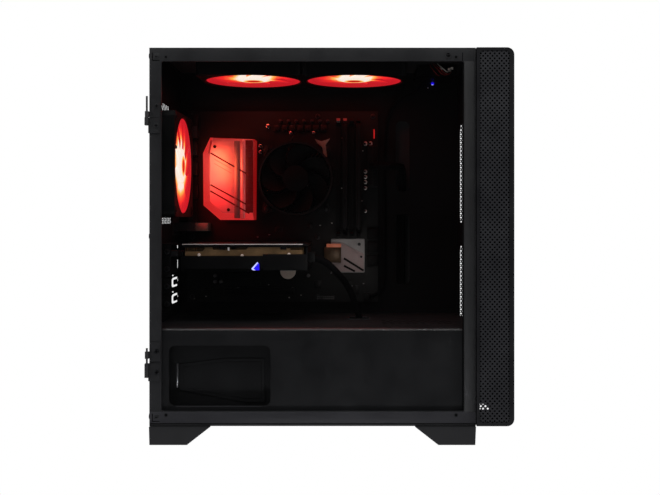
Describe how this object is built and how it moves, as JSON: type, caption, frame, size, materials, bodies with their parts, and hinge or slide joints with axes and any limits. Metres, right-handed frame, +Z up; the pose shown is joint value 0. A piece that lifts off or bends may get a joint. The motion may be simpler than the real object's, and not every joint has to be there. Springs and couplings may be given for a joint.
{
  "type": "desktop computer tower",
  "caption": "Black mid-size computer tower with a hinged glass side door over lit fans, motherboard, graphics card and shrouded power supply.",
  "frame": {"origin": "middle of the footprint, on the surface the feet stand on", "axes": "+X towards the front panel, -Y towards the glass door, +Z up"},
  "size_m": [0.407, 0.21, 0.4385],
  "materials": {
    "painted_steel": "fine-textured black powder coat",
    "black_plastic": "moulded, lightly textured",
    "foot_rubber": "matte",
    "tinted_glass": "clear tempered glass, faint smoke tint",
    "fan_plastic": "satin moulded",
    "red_fan_blades": "translucent blades lit red from the hub",
    "silver_aluminium": "brushed, bevelled",
    "black_aluminium": "anodised black",
    "psu_enamel": "textured black enamel",
    "circuit_board": "black solder mask",
    "zinc_plate": "plated sheet",
    "coin_cell": "polished",
    "cable_sleeve": "braided sleeve"
  },
  "bodies": {
    "chassis": {"atx_power_cable": "cable_sleeve", "bottom_panel": "painted_steel", "chipset_heatsink": "silver_aluminium", "cmos_battery": "coin_cell", "cpu_cooler_heatsink": "black_aluminium", "cpu_fan_frame": "fan_plastic", "dimm_slot_1": "fan_plastic", "dimm_slot_2": "fan_plastic", "dimm_slot_3": "fan_plastic", "dimm_slot_4": "fan_plastic", "drive_cage": "painted_steel", "foot_front_left": "foot_rubber", "foot_front_right": "foot_rubber", "foot_rear_left": "foot_rubber", "foot_rear_right": "foot_rubber", "front_panel_leads": "cable_sleeve", "front_wall": "painted_steel", "gpu_board": "circuit_board", "gpu_bracket": "zinc_plate", "gpu_power_cable": "cable_sleeve", "gpu_shroud": "fan_plastic", "hard_drive": "zinc_plate", "hinge_bracket_lower": "painted_steel", "hinge_bracket_upper": "painted_steel", "io_module": "black_plastic", "io_shield": "zinc_plate", "motherboard": "circuit_board", "motherboard_tray": "painted_steel", "pcie_slot": "fan_plastic", "psu_housing": "psu_enamel", "psu_shroud": "painted_steel", "ram_module_1": "black_aluminium", "ram_module_2": "black_aluminium", "rear_fan_frame": "fan_plastic", "rear_io_ports": "zinc_plate", "rear_panel": "painted_steel", "side_frame": "painted_steel", "slot_cover_1": "painted_steel", "slot_cover_2": "painted_steel", "top_fan_frame_1": "fan_plastic", "top_fan_frame_2": "fan_plastic", "top_panel": "painted_steel", "vrm_heatsink": "silver_aluminium"},
    "side_door": {"door_glass": "tinted_glass", "door_hinge_leaf_upper": "painted_steel", "door_hinge_leaf_lower": "painted_steel"},
    "front_cover": {"front_panel": "black_plastic", "front_dust_filter": "black_plastic"},
    "right_cover": {"right_side_panel": "painted_steel"},
    "power_button": {"power_button": "black_plastic"},
    "reset_button": {"reset_button": "black_plastic"},
    "psu_filter": {"psu_dust_filter": "black_plastic"},
    "top_fan_1": {"top_fan_rotor_1": "red_fan_blades"},
    "top_fan_2": {"top_fan_rotor_2": "red_fan_blades"},
    "rear_fan": {"rear_fan_rotor": "red_fan_blades"},
    "cpu_fan": {"cpu_fan_rotor": "fan_plastic"},
    "gpu_fan_1": {"gpu_fan_rotor_1": "fan_plastic"},
    "gpu_fan_2": {"gpu_fan_rotor_2": "fan_plastic"},
    "psu_fan": {"psu_fan_rotor": "fan_plastic"},
    "psu_switch": {"psu_rocker_switch": "black_plastic"}
  },
  "joints": [
    {"name": "door_swing", "type": "hinge", "parent": "chassis", "child": "side_door", "pos_m": [-0.2013, -0.1024, 0.2297], "axis": [0, 0, -1], "range_deg": [0, 110]},
    {"name": "front_panel_pull", "type": "slide", "parent": "chassis", "child": "front_cover", "axis": [1, 0, 0], "range_m": [0, 0.03]},
    {"name": "right_panel_slide", "type": "slide", "parent": "chassis", "child": "right_cover", "axis": [-1, 0, 0], "range_m": [0, 0.015]},
    {"name": "power_button_press", "type": "slide", "parent": "chassis", "child": "power_button", "axis": [0, 0, -1], "range_m": [0, 0.0015], "stiffness_N_per_m": 600, "springref_m": -0.0005},
    {"name": "reset_button_press", "type": "slide", "parent": "chassis", "child": "reset_button", "axis": [0, 0, -1], "range_m": [0, 0.0015], "stiffness_N_per_m": 400, "springref_m": -0.0005},
    {"name": "psu_filter_slide", "type": "slide", "parent": "chassis", "child": "psu_filter", "axis": [-1, 0, 0], "range_m": [0, 0.12]},
    {"name": "top_fan_1_spin", "type": "hinge", "parent": "chassis", "child": "top_fan_1", "pos_m": [-0.093, -0.015, 0.424], "axis": [0, 0, 1], "continuous": true},
    {"name": "top_fan_2_spin", "type": "hinge", "parent": "chassis", "child": "top_fan_2", "pos_m": [0.027, -0.015, 0.424], "axis": [0, 0, 1], "continuous": true},
    {"name": "rear_fan_spin", "type": "hinge", "parent": "chassis", "child": "rear_fan", "pos_m": [-0.185, -0.03, 0.3114], "axis": [1, 0, 0], "continuous": true},
    {"name": "cpu_fan_spin", "type": "hinge", "parent": "chassis", "child": "cpu_fan", "pos_m": [-0.0455, 0.0307, 0.2992], "axis": [0, 1, 0], "continuous": true},
    {"name": "gpu_fan_1_spin", "type": "hinge", "parent": "chassis", "child": "gpu_fan_1", "pos_m": [-0.1366, 0.005, 0.195], "axis": [0, 0, 1], "continuous": true},
    {"name": "gpu_fan_2_spin", "type": "hinge", "parent": "chassis", "child": "gpu_fan_2", "pos_m": [-0.064, 0.005, 0.195], "axis": [0, 0, 1], "continuous": true},
    {"name": "psu_fan_spin", "type": "hinge", "parent": "chassis", "child": "psu_fan", "pos_m": [-0.1187, 0.003, 0.036], "axis": [0, 0, 1], "continuous": true},
    {"name": "psu_switch_rock", "type": "hinge", "parent": "chassis", "child": "psu_switch", "pos_m": [-0.194, 0.025, 0.068], "axis": [0, -1, 0], "range_deg": [0, 16]}
  ]
}
